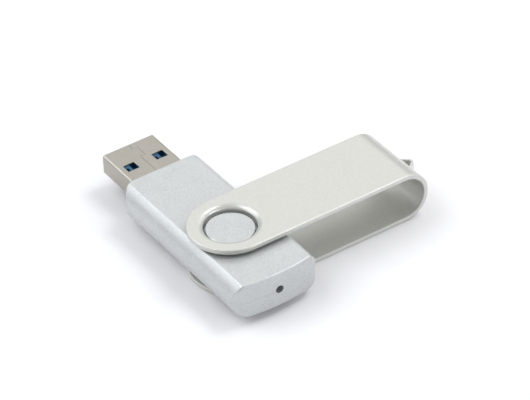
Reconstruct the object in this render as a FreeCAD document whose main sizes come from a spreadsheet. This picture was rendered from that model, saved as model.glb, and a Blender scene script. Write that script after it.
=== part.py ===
import FreeCAD, Part
import math
import os
import re
import Sketcher

# Swivel-cover USB flash drive, in millimetres.
# Working frame: the pivot axis is x = y = 0 and z = 0 is the surface the drive lies on.
# The plug points along -X, the rounded tail along +X, and the cover is swung out to +Y.
# Every sub-part's Placement then moves it so that the origin is the footprint's centre.

DOC = FreeCAD.newDocument("usb_flash_drive")
SHEET = DOC.addObject("Spreadsheet::Sheet", "dims")
SHEET.Label = "driving dimensions"
PARTS = []

DIMENSIONS = [
    ("cover_width", 17.0, "width of the folded metal cover"),
    ("cover_height", 11.0, "outside height of the cover, which is the drive's height"),
    ("sheet_gauge", 1.0, "thickness of the cover's sheet"),
    ("bend_reach", 35.2, "pivot axis to the axis of the cover's bend"),
    ("hole_radius", 5.3, "inside radius of the drawn collar in each cover plate"),
    ("collar_radius", 6.05, "outside radius of the collar"),
    ("collar_drop", 1.0, "how far the collar stands in from the plate"),
    ("collar_round", 0.9, "draw radius at the collar's mouth"),
    ("edge_break", 0.2, "small rounding on pressed and moulded edges"),
    ("strap_tip", 43.2, "pivot axis to the tip of the lanyard strap"),
    ("strap_shoulder", 42.88, "pivot axis to where the strap's legs meet its rounded tip"),
    ("strap_foot", 40.3, "pivot axis to where the strap's legs are rooted in the bend"),
    ("shoulder_half_width", 0.68, "half the strap's width at its shoulders"),
    ("foot_half_width", 2.8, "half the strap's width at the foot of its legs"),
    ("strap_thickness", 0.5, "thickness of the lanyard strap"),
    ("slot_half_width", 1.5, "half the width of the slot under the strap"),
    ("strap_height", 2.0, "height of the lanyard strap"),
    ("case_half_width", 9.75, "half the case's width at the parting line"),
    ("case_flat_half", 7.6, "half the width of the case's flat top"),
    ("case_base_half", 6.8, "half the width of the case's flat bottom"),
    ("case_top", 9.4, "height of the case's flat top"),
    ("case_bottom", 1.6, "height of the case's flat bottom"),
    ("parting_height", 5.2, "height of the line where the two shells meet"),
    ("case_front", 24.6, "pivot axis to the case's front face"),
    ("tail_reach", 16.4, "pivot axis to the middle of the rounded tail face"),
    ("tail_radius", 40.0, "plan radius of the tail face"),
    ("tail_corner", 2.4, "plan radius between the tail face and the sides"),
    ("front_corner", 3.4, "plan radius of the case's front corners"),
    ("case_wall", 1.1, "thickness of the shells' side walls"),
    ("case_skin", 1.3, "thickness of the shells' top and bottom walls"),
    ("cavity_front", 23.0, "pivot axis to the inside of the front wall"),
    ("cavity_tail", 13.4, "pivot axis to the inside of the tail wall"),
    ("boss_radius", 4.85, "radius of the round pivot boss inside the collar"),
    ("boss_height", 0.5, "how far the boss stands above the case"),
    ("groove_radius", 6.13, "outer radius of the groove that the collar turns in"),
    ("groove_depth", 0.65, "depth of that groove"),
    ("lamp_hole", 0.85, "radius of the status light's hole in the tail"),
    ("mid_height", 5.5, "height of the drive's mid plane, plug and status hole"),
    ("post_radius", 0.85, "radius of the shells' assembly posts"),
    ("post_offset", 7.3, "assembly posts to the centre plane"),
    ("post_front", 15.5, "pivot axis to the front pair of posts"),
    ("post_tail", 10.2, "pivot axis to the rear pair of posts"),
    ("pin_radius", 0.45, "radius of the locating pins"),
    ("socket_radius", 0.5, "radius of the holes that take the pins"),
    ("pin_length", 1.0, "length of the locating pins"),
    ("plug_reach", 36.8, "pivot axis to the plug's tip"),
    ("plug_rear", 18.5, "pivot axis to the plug shell's rear end"),
    ("plug_half_width", 6.0, "half of the standard 12.0 mm plug width"),
    ("plug_height", 4.5, "standard plug height"),
    ("plug_gauge", 0.3, "thickness of the plug shell's steel"),
    ("plug_corner", 0.6, "outside corner radius of the plug shell"),
    ("window_front", 31.4, "pivot axis to the front edge of the plug's windows"),
    ("window_back", 29.2, "pivot axis to the rear edge of the plug's windows"),
    ("window_inner", 2.05, "centre plane to the near edge of a window"),
    ("window_outer", 4.6, "centre plane to the far edge of a window"),
    ("seam_width", 0.08, "width of the butt seam along the plug shell"),
    ("dovetail_front", 35.2, "pivot axis to the front of the seam's dovetail"),
    ("dovetail_rear", 32.0, "pivot axis to the rear of the seam's dovetail"),
    ("dovetail_depth", 1.1, "how far the dovetail steps to one side"),
    ("dovetail_flare", 0.3, "how far the dovetail widens at each end"),
    ("tab_rear", 16.0, "pivot axis to the rear of the plug shell's solder tabs"),
    ("tab_height", 1.7, "height of the solder tabs"),
    ("tab_rise", 0.5, "how far the solder tabs stand above the board"),
    ("joint_front", 17.9, "pivot axis to the front of the tabs' solder joints"),
    ("joint_length", 1.6, "length of the tabs' solder joints"),
    ("joint_width", 0.65, "width of the tabs' solder joints on the board"),
    ("board_top", 5.5, "height of the circuit board's upper face"),
    ("board_thickness", 0.8, "thickness of the circuit board"),
    ("board_front", 18.3, "pivot axis to the board's front edge"),
    ("board_tail", 12.6, "pivot axis to the board's rear edge"),
    ("board_half_width", 6.2, "half the board's width"),
    ("board_neck", 5.65, "half the board's width between the plug shell's tabs"),
    ("board_shoulder", 15.7, "pivot axis to where the board widens"),
    ("contact_gauge", 0.2, "thickness of the contact strip metal"),
    ("contact_tail", 17.0, "pivot axis to the contacts' soldered ends"),
    ("tongue_height", 1.7, "thickness of the plug's plastic tongue"),
    ("tongue_tip", 35.9, "pivot axis to the front of the tongue"),
    ("contact_setback", 0.7, "tongue tip to the front of the four flat contacts"),
    ("contact_pad_end", 5.5, "tongue tip to where a flat contact narrows"),
    ("block_front", 26.2, "pivot axis to the front of the insulator's block"),
    ("block_rear", 20.8, "pivot axis to the rear of the insulator's block"),
    ("block_half_width", 5.55, "half the width of the insulator"),
    ("block_gap", 0.05, "clearance between the insulator and the plug shell"),
    ("flash_length", 18.4, "standard memory package body length"),
    ("flash_width", 12.0, "standard memory package body width"),
    ("flash_thickness", 1.0, "memory package body thickness"),
    ("flash_centre", 0.6, "pivot axis to the memory package's centre"),
    ("lead_pitch", 0.5, "spacing of the memory package's leads"),
    ("lead_count", 24, "leads on each end of the memory package"),
    ("lead_width", 0.22, "width of one lead"),
    ("lead_gauge", 0.12, "thickness of the chips' lead metal"),
    ("chip_standoff", 0.1, "gap between a chip's body and the board"),
    ("mark_radius", 0.4, "radius of the round mark beside a chip's first lead"),
    ("mark_depth", 0.1, "depth of that mark"),
    ("controller_centre", 8.5, "pivot axis to the controller's centre"),
    ("controller_size", 7.0, "side of the controller's square body"),
    ("controller_thickness", 0.8, "thickness of the controller's body"),
    ("terminal_gauge", 0.06, "thickness of the controller's terminals"),
    ("crystal_centre", 1.0, "pivot axis to the clock crystal's centre"),
    ("crystal_length", 3.2, "length of the clock crystal"),
    ("crystal_width", 2.5, "width of the clock crystal"),
    ("crystal_base", 0.5, "thickness of the clock crystal's ceramic base"),
    ("crystal_lid", 0.2, "thickness of the clock crystal's lid, and its step in from the base"),
    ("regulator_centre", 6.5, "pivot axis to the voltage regulator's centre"),
    ("regulator_length", 2.9, "length of the voltage regulator's body"),
    ("regulator_width", 1.6, "width of the voltage regulator's body"),
    ("regulator_thickness", 1.05, "thickness of the voltage regulator's body"),
    ("light_front", 11.7, "pivot axis to the front of the status light"),
    ("light_length", 0.8, "length of the status light along the drive"),
    ("light_width", 1.6, "width of the status light"),
    ("light_base", 0.3, "thickness of the status light's base"),
    ("lens_height", 0.45, "height of the status light's lens"),
    ("lens_inset", 0.05, "step in from the base to the lens, and from its foot to its top"),
]


def fill_sheet():
    """Write the driving dimensions into the spreadsheet, one aliased row each."""
    for row, (alias, number, note) in enumerate(DIMENSIONS, start=1):
        SHEET.set(f"A{row}", note)
        SHEET.set(f"B{row}", str(number))
        SHEET.setAlias(f"B{row}", alias)
    DOC.recompute()


ALIASES = {alias for alias, number, note in DIMENSIONS}


def linked(expression):
    """Turn the aliases in a short expression into references to the spreadsheet."""
    def refer(match):
        word = match.group()
        return "dims." + word if word in ALIASES else word
    return re.sub(r"[a-z_]+", refer, str(expression))


def value(expression):
    """The number that an expression of the driving dimensions comes to."""
    return float(SHEET.evalExpression(linked(expression)))


# ---------------------------------------------------------------- building blocks

SHIFT_X = "(plug_reach - tail_reach) / 2"
SHIFT_Y = "(case_half_width - strap_tip) / 2"


def place(piece):
    """Move a sub-part from the pivot's frame to the footprint's centre."""
    piece.setExpression("Placement.Base.x", linked(SHIFT_X))
    piece.setExpression("Placement.Base.y", linked(SHIFT_Y))


def new_body(label):
    """A PartDesign body that becomes one sub-part."""
    body = DOC.addObject("PartDesign::Body", label)
    body.Label = label
    place(body)
    PARTS.append(body)
    return body


def sketch_on(body, name, role, offset="0"):
    """An empty sketch on one of the body's origin planes, moved along its normal."""
    plane = [item for item in body.Origin.OriginFeatures if item.Role == role][0]
    sketch = body.newObject("Sketcher::SketchObject", body.Label + "_" + name)
    sketch.AttachmentSupport = [(plane, "")]
    sketch.MapMode = "FlatFace"
    sketch.setExpression("AttachmentOffset.Base.z", linked(offset))
    return sketch


def pin_coordinate(sketch, edge, end, axis, expression):
    """Hold one coordinate of a sketch point at an expression."""
    kind = "DistanceX" if axis == 0 else "DistanceY"
    size = value(expression)
    if abs(size) < 1e-9:
        sketch.addConstraint(Sketcher.Constraint("PointOnObject", edge, end, -2 + axis))
        return
    index = sketch.addConstraint(Sketcher.Constraint(kind, -1, 1, edge, end, size))
    sketch.setExpression(f"Constraints[{index}]", linked(expression))


def draw_outline(sketch, corners, arcs=None):
    """Draw a closed outline through corners given as expressions.

    arcs maps the number of an edge to a point that it passes through as an arc;
    the other edges are straight.
    """
    arcs = arcs or {}
    points = [FreeCAD.Vector(value(x), value(y), 0) for x, y in corners]
    ends = []
    for number, start in enumerate(points):
        stop = points[(number + 1) % len(points)]
        if number in arcs:
            through_x, through_y = arcs[number]
            middle = FreeCAD.Vector(value(through_x), value(through_y), 0)
            edge = sketch.addGeometry(Part.Arc(start, middle, stop), False)
            flipped = sketch.getPoint(edge, 1).distanceToPoint(start) > 1e-6
            mark = sketch.addGeometry(Part.Point(middle), True)
            pin_coordinate(sketch, mark, 1, 0, through_x)
            pin_coordinate(sketch, mark, 1, 1, through_y)
            sketch.addConstraint(Sketcher.Constraint("PointOnObject", mark, 1, edge))
        else:
            edge = sketch.addGeometry(Part.LineSegment(start, stop), False)
            flipped = False
        ends.append((edge, 2, 1) if flipped else (edge, 1, 2))
    for number, (x, y) in enumerate(corners):
        edge, first, last = ends[number]
        previous, before, after = ends[number - 1]
        sketch.addConstraint(Sketcher.Constraint("Coincident", previous, after, edge, first))
        pin_coordinate(sketch, edge, first, 0, x)
        pin_coordinate(sketch, edge, first, 1, y)


def draw_rectangle(sketch, left, right, low, high):
    """Draw a rectangle between four coordinates given as expressions."""
    draw_outline(sketch, [(left, low), (right, low), (right, high), (left, high)])


def draw_rounded(sketch, half_width, low, high, radius):
    """Draw a rectangle centred on the vertical axis with rounded corners."""
    inner = f"{half_width} - {radius}"
    cut = f"{radius} * (1 - sqrt(0.5))"
    corners = [(f"-({inner})", low), (inner, low),
               (half_width, f"{low} + {radius}"), (half_width, f"{high} - {radius}"),
               (inner, high), (f"-({inner})", high),
               (f"-({half_width})", f"{high} - {radius}"), (f"-({half_width})", f"{low} + {radius}")]
    right, left = f"{half_width} - {cut}", f"-({half_width} - {cut})"
    arcs = {1: (right, f"{low} + {cut}"), 3: (right, f"{high} - {cut}"),
            5: (left, f"{high} - {cut}"), 7: (left, f"{low} + {cut}")}
    draw_outline(sketch, corners, arcs)


def draw_circle(sketch, x, y, radius):
    """Draw a circle whose centre and radius are expressions."""
    centre = FreeCAD.Vector(value(x), value(y), 0)
    shape = Part.Circle(centre, FreeCAD.Vector(0, 0, 1), value(radius))
    edge = sketch.addGeometry(shape, False)
    index = sketch.addConstraint(Sketcher.Constraint("Radius", edge, value(radius)))
    sketch.setExpression(f"Constraints[{index}]", linked(radius))
    if value(x) == 0 and value(y) == 0:
        sketch.addConstraint(Sketcher.Constraint("Coincident", edge, 3, -1, 1))
        return
    pin_coordinate(sketch, edge, 3, 0, x)
    pin_coordinate(sketch, edge, 3, 1, y)


def extrude(body, kind, sketch, length, backwards=False, symmetric=False):
    """Pad or pocket a sketch, and stop if it left the volume as it was."""
    DOC.recompute()
    before = 0.0 if body.Shape.isNull() else body.Shape.Volume
    feature = body.newObject("PartDesign::" + kind, sketch.Name + "_" + kind.lower())
    feature.Profile = sketch
    if length == "through":
        feature.Type = "ThroughAll"
    else:
        feature.setExpression("Length", linked(length))
    feature.SideType = "Symmetric" if symmetric else "One side"
    feature.Reversed = backwards
    sketch.Visibility = False
    DOC.recompute()
    change = body.Shape.Volume - before
    if (change <= 0) if kind == "Pad" else (change >= 0):
        raise RuntimeError(f"{feature.Name} changed the volume by {change}")
    return feature


def pad(body, sketch, length, **options):
    return extrude(body, "Pad", sketch, length, **options)


def pocket(body, sketch, length, **options):
    return extrude(body, "Pocket", sketch, length, **options)


def round_edges(body, name, radius, wanted):
    """Fillet the edges of the body's last feature that a test picks out."""
    DOC.recompute()
    base = body.Tip
    names = [f"Edge{number}" for number, edge in enumerate(base.Shape.Edges, start=1) if wanted(edge)]
    if not names:
        raise RuntimeError(f"{body.Label} {name}: no edge to round")
    fillet = body.newObject("PartDesign::Fillet", body.Label + "_" + name)
    fillet.Base = (base, names)
    fillet.setExpression("Radius", linked(radius))
    DOC.recompute()
    return fillet


def samples(edge):
    """Three points along an edge: near its start, at its middle and near its end."""
    first, last = edge.ParameterRange
    return [edge.valueAt(first + (last - first) * share) for share in (0.02, 0.5, 0.98)]


def near(number, target):
    return abs(number - target) < 1e-4


def block(label, left, right, low_y, high_y, low_z, high_z):
    """A rectangular Part::Box between six coordinates given as expressions."""
    box = DOC.addObject("Part::Box", label)
    box.Label = label
    box.setExpression("Length", linked(f"({right}) - ({left})"))
    box.setExpression("Width", linked(f"({high_y}) - ({low_y})"))
    box.setExpression("Height", linked(f"({high_z}) - ({low_z})"))
    box.setExpression("Placement.Base.x", linked(left))
    box.setExpression("Placement.Base.y", linked(low_y))
    box.setExpression("Placement.Base.z", linked(low_z))
    return box


def group(label, members):
    """Several separate solids of one kind kept together as one sub-part."""
    compound = DOC.addObject("Part::Compound", label)
    compound.Label = label
    compound.Links = members
    place(compound)
    PARTS.append(compound)
    return compound


# ---------------------------------------------------------------- swivel cover

def make_swivel_cover():
    """Sheet folded into a U, with a drawn collar in each plate and a lanyard strap."""
    body = new_body("swivel_cover")
    half = "cover_width / 2"
    profile = sketch_on(body, "profile", "YZ_Plane")
    corners = [(f"-({half})", "cover_height"), ("bend_reach", "cover_height"), ("bend_reach", "0"),
               (f"-({half})", "0"), (f"-({half})", "sheet_gauge"), ("bend_reach", "sheet_gauge"),
               ("bend_reach", "cover_height - sheet_gauge"),
               (f"-({half})", "cover_height - sheet_gauge")]
    outer = "cover_height / 2"
    inner = "cover_height / 2 - sheet_gauge"
    arcs = {1: (f"bend_reach + {outer}", outer), 5: (f"bend_reach + {inner}", outer)}
    draw_outline(profile, corners, arcs)
    pad(body, profile, "cover_width", symmetric=True)

    ends = sketch_on(body, "ends", "XY_Plane")
    beyond = f"{half} + 1"
    corners = [(f"-({half})", "0"), (half, "0"), (beyond, "0"), (beyond, f"-({beyond})"),
               (f"-({beyond})", f"-({beyond})"), (f"-({beyond})", "0")]
    draw_outline(ends, corners, {0: ("0", f"-({half})")})
    pocket(body, ends, "through", backwards=True)

    holes = sketch_on(body, "holes", "XY_Plane")
    draw_circle(holes, "0", "0", "hole_radius")
    pocket(body, holes, "through", backwards=True)
    make_collars(body)
    make_lanyard_strap(body)
    break_cover_edges(body)


def make_collars(body):
    """A collar drawn inwards round the pivot hole of each plate."""
    for side, height, inwards in (("upper", "cover_height - sheet_gauge", True),
                                  ("lower", "sheet_gauge", False)):
        ring = sketch_on(body, side + "_collar", "XY_Plane", height)
        draw_circle(ring, "0", "0", "hole_radius")
        draw_circle(ring, "0", "0", "collar_radius")
        pad(body, ring, "collar_drop", backwards=inwards)
    top = value("cover_height")
    radius = value("hole_radius")

    def mouth(edge):
        return all(near(math.hypot(p.x, p.y), radius) and (near(p.z, 0) or near(p.z, top))
                   for p in samples(edge))

    round_edges(body, "collar_mouths", "collar_round", mouth)


def make_lanyard_strap(body):
    """A pointed band bent out of the sheet round a slot, for a lanyard to pass through."""
    low = "mid_height - strap_height / 2"
    slot = sketch_on(body, "slot", "XY_Plane", low)
    draw_rectangle(slot, "-slot_half_width", "slot_half_width", "bend_reach + 2", "strap_foot + 0.6")
    pocket(body, slot, "strap_height", backwards=True)

    run = "(foot_half_width - shoulder_half_width)"
    rise = "(strap_shoulder - strap_foot)"
    leg = f"sqrt({run} ^ 2 + {rise} ^ 2)"
    inner_foot = f"(foot_half_width - strap_thickness * {leg} / {rise})"
    inner_half = f"(shoulder_half_width - strap_thickness * {rise} / {leg})"
    inner_shoulder = f"(strap_shoulder - strap_thickness * {run} / {leg})"
    strap = sketch_on(body, "strap", "XY_Plane", low)
    corners = [("foot_half_width", "strap_foot"), ("shoulder_half_width", "strap_shoulder"),
               ("-shoulder_half_width", "strap_shoulder"), ("-foot_half_width", "strap_foot"),
               (f"-{inner_foot}", "strap_foot"), (f"-{inner_half}", inner_shoulder),
               (inner_half, inner_shoulder), (inner_foot, "strap_foot")]
    arcs = {1: ("0", "strap_tip"), 5: ("0", "strap_tip - strap_thickness")}
    draw_outline(strap, corners, arcs)
    pad(body, strap, "strap_height")


def break_cover_edges(body):
    """Round the long outer edges of the folded sheet a little."""
    half = value("cover_width / 2")
    top = value("cover_height")
    bend = value("bend_reach")

    def on_outside(point):
        if point.y > bend + 1e-6:
            reach = math.hypot(point.y - bend, point.z - top / 2)
            return near(abs(point.x), half) and near(reach, top / 2)
        rim = near(abs(point.x), half) or near(math.hypot(point.x, point.y), half)
        return rim and (near(point.z, 0) or near(point.z, top))

    round_edges(body, "outer_edges", "edge_break", lambda edge: all(map(on_outside, samples(edge))))


# ---------------------------------------------------------------- case shells

def side_radius(rise, flat_half):
    """Radius of a side arc that is upright at the parting line."""
    run = f"(case_half_width - {flat_half})"
    return f"(({rise}) ^ 2 + {run} ^ 2) / (2 * {run})"


def draw_shell_section(sketch, rise, flat_half, side, inset, skin):
    """Half of the case's cross-section, moved in by a wall and a skin."""
    radius = f"({side_radius(rise, flat_half)} - {inset})"
    centre = f"(case_half_width - {side_radius(rise, flat_half)})"
    lid = f"(({rise}) - {skin})"
    flat = f"({centre} + sqrt({radius} ^ 2 - {lid} ^ 2))"
    wide = f"(case_half_width - {inset})"
    level = f"(parting_height + {side} * {lid})"
    bulge_x = f"({centre} + {radius} * 0.9)"
    bulge_z = f"(parting_height + {side} * {radius} * sqrt(1 - 0.81))"
    corners = [(f"-{wide}", "parting_height"), (wide, "parting_height"), (flat, level), (f"-{flat}", level)]
    arcs = {1: (bulge_x, bulge_z), 3: (f"-{bulge_x}", bulge_z)}
    draw_outline(sketch, corners, arcs)


def trim_shell_plan(body):
    """Cut the padded section back to the case's plan: round corners and an arched tail."""
    plan = sketch_on(body, "plan", "XY_Plane")
    draw_rectangle(plan, "-case_front - 5", "tail_reach + 5", "-case_half_width - 5", "case_half_width + 5")
    nook = "front_corner * (1 - sqrt(0.5))"
    run = "(tail_radius - tail_corner)"
    across = "(case_half_width - tail_corner)"
    along = f"sqrt({run} ^ 2 - {across} ^ 2)"
    centre = f"(tail_reach - tail_radius + {along})"
    reach = f"sqrt(({along} / {run}) ^ 2 + (1 + {across} / {run}) ^ 2)"
    tangent_x = f"{centre} + tail_corner * {along} / {run}"
    tangent_y = f"{across} + tail_corner * {across} / {run}"
    through_x = f"{centre} + tail_corner * {along} / {run} / {reach}"
    through_y = f"{across} + tail_corner * (1 + {across} / {run}) / {reach}"
    front = "-case_front + front_corner"
    corners = [("-case_front", "-case_half_width + front_corner"), (front, "-case_half_width"),
               (centre, "-case_half_width"), (tangent_x, f"-({tangent_y})"),
               (tangent_x, tangent_y), (centre, "case_half_width"),
               (front, "case_half_width"), ("-case_front", "case_half_width - front_corner")]
    arcs = {0: (f"-case_front + {nook}", f"-case_half_width + {nook}"),
            2: (through_x, f"-({through_y})"), 3: ("tail_reach", "0"), 4: (through_x, through_y),
            6: (f"-case_front + {nook}", f"case_half_width - {nook}")}
    draw_outline(plan, corners, arcs)
    pocket(body, plan, "through", backwards=True)


def make_shell(label, side, face, flat_half):
    """One half of the case: side is 1 for the upper shell and -1 for the lower."""
    body = new_body(label)
    rise = f"({side} * ({face} - parting_height))"
    upwards = side > 0
    section = sketch_on(body, "section", "YZ_Plane", "-case_front")
    draw_shell_section(section, rise, flat_half, side, "0", "0")
    pad(body, section, "case_front + tail_reach")
    trim_shell_plan(body)

    cavity = sketch_on(body, "cavity", "YZ_Plane", "-cavity_front")
    draw_shell_section(cavity, rise, flat_half, side, "case_wall", "case_skin")
    pocket(body, cavity, "cavity_front + cavity_tail", backwards=True)

    mouth = sketch_on(body, "mouth", "YZ_Plane", "-case_front - 1")
    edge = f"mid_height + {side} * (plug_height / 2 + 0.03)"
    low, high = ("parting_height", edge) if upwards else (edge, "parting_height")
    draw_rectangle(mouth, "-plug_half_width - 0.03", "plug_half_width + 0.03", low, high)
    pocket(body, mouth, "case_front - cavity_front + 1.5", backwards=True)

    make_pivot(body, side, face)
    lamp = sketch_on(body, "lamp", "YZ_Plane", "cavity_tail - 1")
    draw_circle(lamp, "0", "mid_height", "lamp_hole")
    pocket(body, lamp, "tail_reach - cavity_tail + 2", backwards=True)
    make_posts(body, side, face)
    return body


def make_pivot(body, side, face):
    """The round boss and the groove round it that holds the cover's collar."""
    boss = sketch_on(body, "boss", "XY_Plane", face)
    draw_circle(boss, "0", "0", "boss_radius")
    pad(body, boss, "boss_height", backwards=side < 0)
    level = value(f"{face} + {side} * boss_height")
    radius = value("boss_radius")
    round_edges(body, "boss_rim", "edge_break",
                lambda edge: all(near(p.z, level) and near(math.hypot(p.x, p.y), radius)
                                 for p in samples(edge)))
    groove = sketch_on(body, "groove", "XY_Plane", face)
    draw_circle(groove, "0", "0", "boss_radius")
    draw_circle(groove, "0", "0", "groove_radius")
    pocket(body, groove, "groove_depth", backwards=side < 0)


# Edges of the four pads that hold the board, along and across the case.
BOARD_PADS_ALONG = [(-14.0, -13.0), (11.2, 11.9)]
BOARD_PADS_ACROSS = [(-6.1, -4.6), (4.6, 6.1)]


def make_posts(body, side, face):
    """Assembly posts with pins above and sockets below, and pads that hold the board."""
    roof = f"({face} - {side} * (case_skin - 0.1))"
    length = f"{side} * ({roof} - parting_height)"
    places = [(x, y) for x in ("-post_front", "post_tail") for y in ("-post_offset", "post_offset")]
    posts = sketch_on(body, "posts", "XY_Plane", "parting_height")
    for x, y in places:
        draw_circle(posts, x, y, "post_radius")
    pad(body, posts, length, backwards=side < 0)
    ends = sketch_on(body, "post_ends", "XY_Plane", "parting_height")
    for x, y in places:
        draw_circle(ends, x, y, "pin_radius" if side > 0 else "socket_radius")
    if side > 0:
        pad(body, ends, "pin_length", backwards=True)
    else:
        pocket(body, ends, "pin_length + 0.2")

    rest = "board_top" if side > 0 else "(board_top - board_thickness)"
    pads = sketch_on(body, "board_pads", "XY_Plane", rest)
    for left, right in BOARD_PADS_ALONG:
        for low, high in BOARD_PADS_ACROSS:
            draw_rectangle(pads, left, right, low, high)
    pad(body, pads, f"{side} * ({roof} - {rest})", backwards=side < 0)


# ---------------------------------------------------------------- plug

def seam_outline():
    """The butt seam's narrow slit, with the dovetail that locks the two edges."""
    gap = value("seam_width") / 2
    tip = -value("plug_reach") - 1
    rear = -value("plug_rear") + 1
    front, back = -value("dovetail_front"), -value("dovetail_rear")
    depth, flare = value("dovetail_depth"), value("dovetail_flare")
    path = [(tip, 0.0), (front + flare, 0.0), (front, depth), (back, depth), (back - flare, 0.0), (rear, 0.0)]
    sides = []
    for sign in (1, -1):
        line = []
        for number, (x, y) in enumerate(path):
            before = path[max(number - 1, 0)]
            after = path[min(number + 1, len(path) - 1)]
            normals = []
            for start, stop in ((before, (x, y)), ((x, y), after)):
                length = math.dist(start, stop)
                if length:
                    normals.append((-(stop[1] - start[1]) / length, (stop[0] - start[0]) / length))
            mean = [sum(part) / len(normals) for part in zip(*normals)]
            scale = sign * gap / (mean[0] ** 2 + mean[1] ** 2)
            line.append((x + mean[0] * scale, y + mean[1] * scale))
        sides.append(line)
    return sides[0] + sides[1][::-1]


def make_plug_shell():
    """Steel sheet folded to a rectangular tube, with four windows and two solder tabs."""
    body = new_body("plug_shell")
    low = "mid_height - plug_height / 2"
    high = "mid_height + plug_height / 2"
    tube = sketch_on(body, "tube", "YZ_Plane", "-plug_reach")
    draw_rounded(tube, "plug_half_width", low, high, "plug_corner")
    draw_rounded(tube, "(plug_half_width - plug_gauge)", f"({low} + plug_gauge)",
                 f"({high} - plug_gauge)", "(plug_corner - plug_gauge)")
    pad(body, tube, "plug_reach - plug_rear")

    windows = sketch_on(body, "windows", "XY_Plane")
    draw_rectangle(windows, "-window_front", "-window_back", "window_inner", "window_outer")
    draw_rectangle(windows, "-window_front", "-window_back", "-window_outer", "-window_inner")
    pocket(body, windows, "through", backwards=True)

    seam = sketch_on(body, "seam", "XY_Plane", f"{high} + 0.1")
    draw_outline(seam, seam_outline())
    pocket(body, seam, "plug_gauge + 0.2")

    tabs = sketch_on(body, "tabs", "XY_Plane", "board_top + tab_rise - tab_height")
    side = "(plug_half_width - plug_gauge)"
    draw_rectangle(tabs, "-plug_rear - 0.5", "-tab_rear", side, "plug_half_width")
    draw_rectangle(tabs, "-plug_rear - 0.5", "-tab_rear", "-plug_half_width", f"-{side}")
    pad(body, tabs, "tab_height")


USB_TWO_CONTACTS = [("power_contact", -3.5, -3.3), ("data_minus_contact", -1.0, -1.0),
                    ("data_plus_contact", 1.0, 1.0), ("ground_contact", 3.5, 3.3)]
FAST_CONTACTS = [("fast_receive_minus_contact", -4.0), ("fast_receive_plus_contact", -2.0),
                 ("fast_ground_contact", 0.0), ("fast_transmit_minus_contact", 2.0),
                 ("fast_transmit_plus_contact", 4.0)]
PAD_HALF_WIDTH = 0.5
STRIP_HALF_WIDTH = 0.2
SPRING_HALF_WIDTH = 0.25
SLOT_CLEARANCE = 0.02

# Distance from the pivot axis, and drop from the strip's upper face, down the spring's bend.
SPRING_BEND = [(27.3, 0.0), (28.2, 0.6), (29.0, 0.15), (29.1, 0.33), (28.2, 0.83), (27.3, 0.2)]

# Edges of the moulded pockets, measured from the window's left side across the drive.
POCKET_BOTTOM = (1.35, 2.75)
POCKET_SIDE = (-0.2, 0.75)
POCKET_DEPTH = 1.1


def strip_slots():
    """Centre and half width of every contact's slot through the insulating blocks."""
    slots = [(strip, STRIP_HALF_WIDTH) for label, front, strip in USB_TWO_CONTACTS]
    slots += [(centre, SPRING_HALF_WIDTH) for label, centre in FAST_CONTACTS]
    return slots


def cut_strip_slots(body, front, rear):
    """Cut the contacts' slots through a block between two distances from the pivot."""
    cuts = sketch_on(body, "slots", "YZ_Plane", f"-{front} - 0.5")
    for centre, half in strip_slots():
        wide = half + SLOT_CLEARANCE
        draw_rectangle(cuts, centre - wide, centre + wide,
                       f"board_top - {SLOT_CLEARANCE}", f"board_top + contact_gauge + {SLOT_CLEARANCE}")
    pocket(body, cuts, f"{front} - {rear} + 1", backwards=True)


def make_insulator():
    """The plug's plastic tongue and block, with two moulded pockets under each window."""
    body = new_body("plug_insulator")
    floor = "(mid_height - plug_height / 2 + plug_gauge + block_gap)"
    roof = "(mid_height + plug_height / 2 - plug_gauge - block_gap)"
    tongue = sketch_on(body, "tongue", "YZ_Plane", "-tongue_tip")
    draw_rectangle(tongue, "-block_half_width", "block_half_width", f"{roof} - tongue_height", roof)
    pad(body, tongue, "tongue_tip - block_rear")
    base = sketch_on(body, "base", "YZ_Plane", "-block_front")
    draw_rectangle(base, "-block_half_width", "block_half_width", floor, roof)
    pad(body, base, "block_front - block_rear")
    cut_strip_slots(body, "block_front", "block_rear")

    pockets = sketch_on(body, "pockets", "XY_Plane", roof)
    for start in ("-window_outer", "window_inner"):
        for front, (left, right) in (("-window_front - 0.2", POCKET_BOTTOM),
                                     ("-window_front + 0.75", POCKET_SIDE)):
            draw_rectangle(pockets, front, "-window_back + 0.2",
                           f"{start} + {left}", f"{start} + {right}")
    pocket(body, pockets, POCKET_DEPTH)


def make_contact_spacer():
    """The rear block that keeps the nine contact tails apart."""
    body = new_body("contact_spacer")
    half = "block_half_width"
    outline = sketch_on(body, "outline", "YZ_Plane", "-block_rear")
    draw_rectangle(outline, f"-{half}", half, "mid_height - plug_height / 2 + plug_gauge + block_gap",
                   "mid_height + plug_height / 2 - plug_gauge - block_gap")
    pad(body, outline, "block_rear - plug_rear - 0.2")
    cut_strip_slots(body, "block_rear", "plug_rear")


def make_flat_contact(label, front, strip):
    """A contact with a wide pad under the tongue and a narrow strip back to the board."""
    body = new_body(label)
    shape = sketch_on(body, "shape", "XY_Plane", "board_top")
    pad_low, pad_high = front - PAD_HALF_WIDTH, front + PAD_HALF_WIDTH
    low, high = strip - STRIP_HALF_WIDTH, strip + STRIP_HALF_WIDTH
    tip, neck = "-tongue_tip + contact_setback", "-tongue_tip + contact_pad_end"
    corners = [(tip, pad_low), (neck, pad_low), (neck, low), ("-contact_tail", low),
               ("-contact_tail", high), (neck, high), (neck, pad_high), (tip, pad_high)]
    draw_outline(shape, corners)
    pad(body, shape, "contact_gauge")


def make_spring_contact(label, centre):
    """A SuperSpeed contact: a strip whose front end is bent down into a spring."""
    body = new_body(label)
    side = sketch_on(body, "side", "XZ_Plane", -centre)
    top = "board_top + contact_gauge"
    corners = [("-contact_tail", "board_top"), ("-contact_tail", top)]
    corners += [(-reach, f"{top} - {drop}") for reach, drop in SPRING_BEND]
    draw_outline(side, corners)
    pad(body, side, 2 * SPRING_HALF_WIDTH, symmetric=True)


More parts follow.
